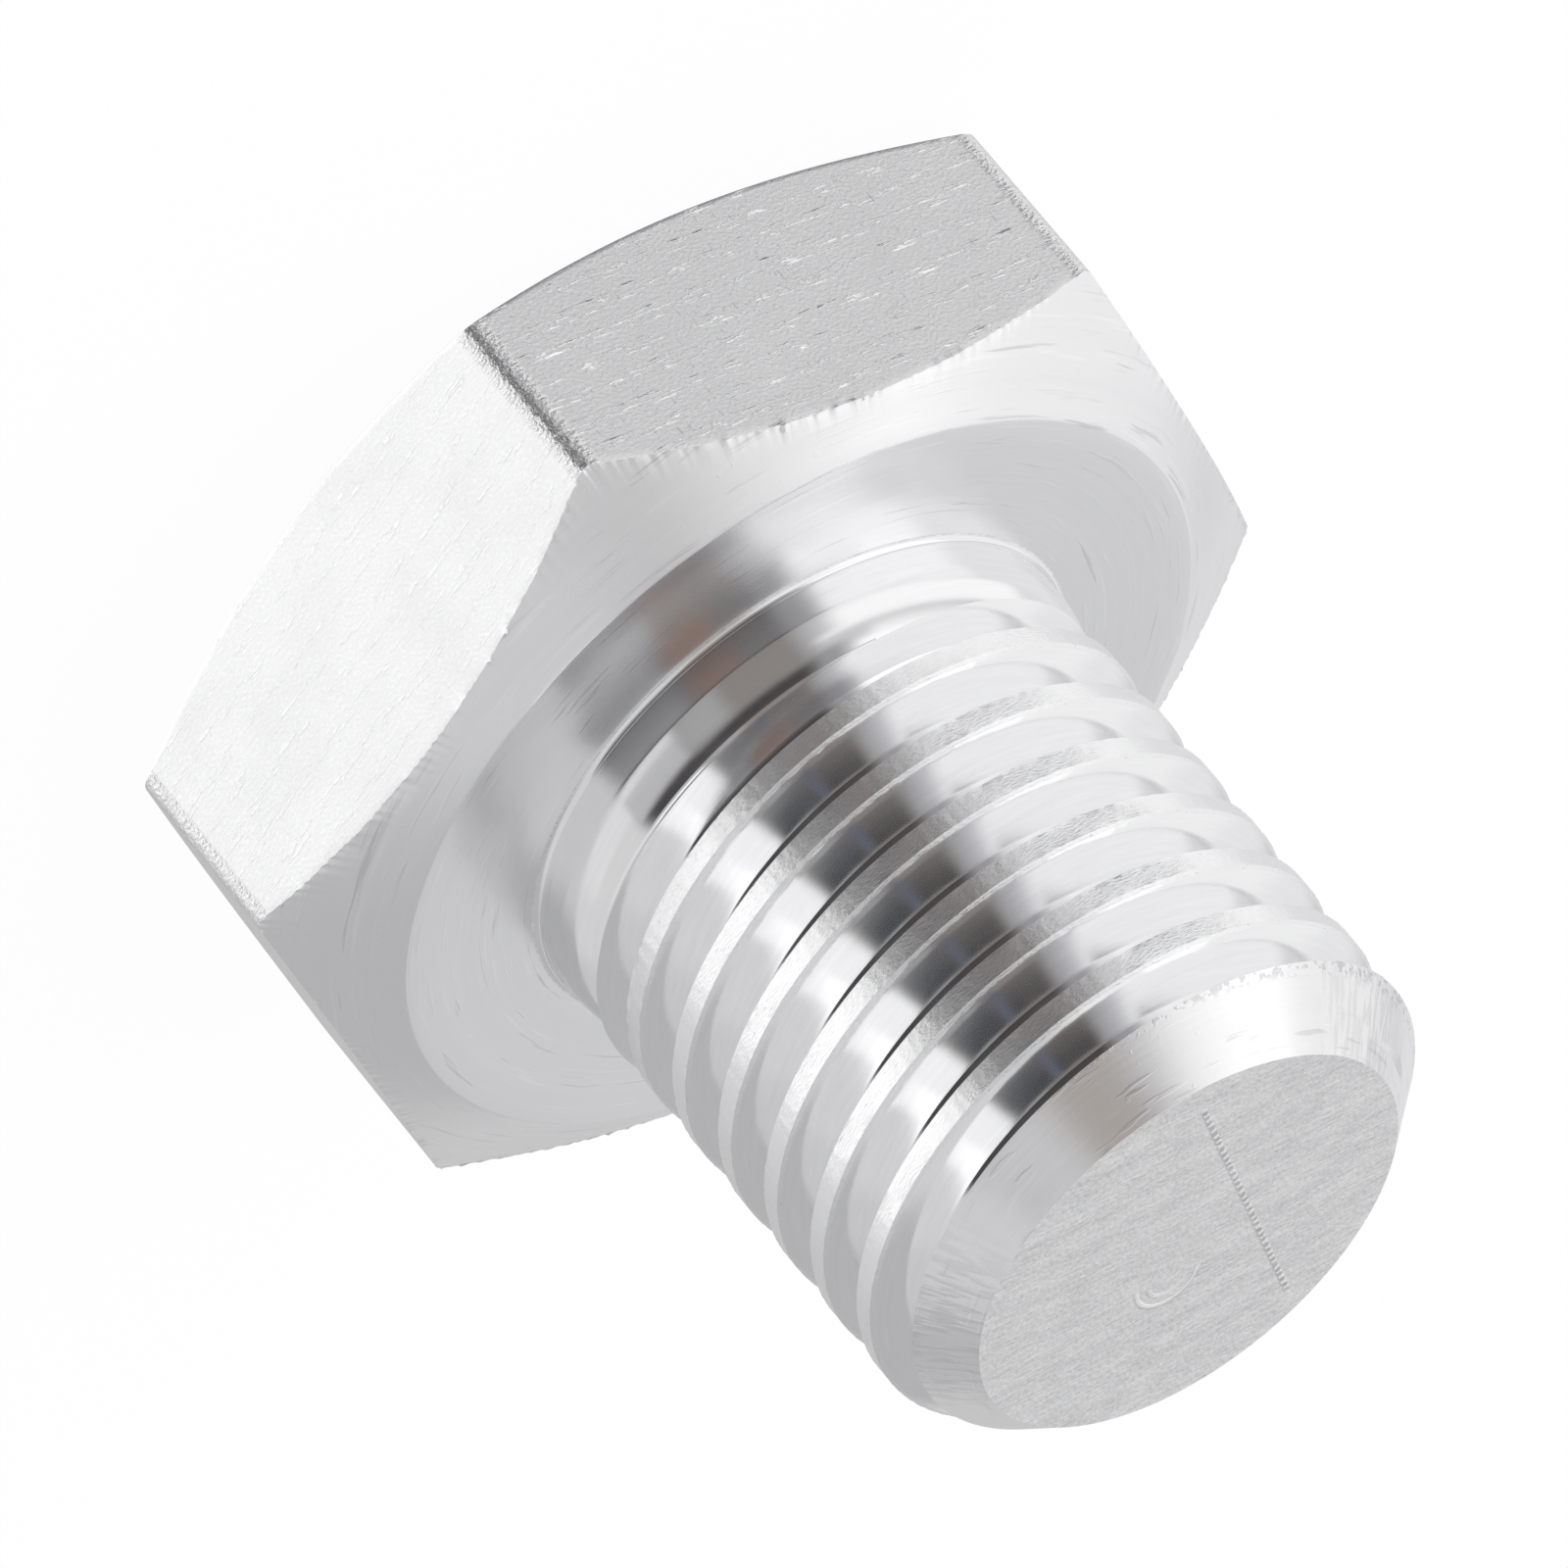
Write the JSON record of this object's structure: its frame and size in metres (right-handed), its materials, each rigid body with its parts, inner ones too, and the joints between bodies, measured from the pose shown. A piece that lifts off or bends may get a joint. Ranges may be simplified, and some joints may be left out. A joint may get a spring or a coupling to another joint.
{
  "type": "cylinder head plug",
  "caption": "Machined aluminium screw plug with a hexagon head, a chamfered seat face and a threaded shank that closes a tapped port.",
  "frame": {"origin": "centre of the head's outer face, which the plug stands on", "axes": "+Z along the shank from the head to its end, one hexagon corner on +X"},
  "size_m": [0.0184, 0.016, 0.0155],
  "materials": {
    "bare_aluminium": "bright, as turned and milled"
  },
  "bodies": {
    "root": {"plug_body": "bare_aluminium"}
  },
  "joints": []
}
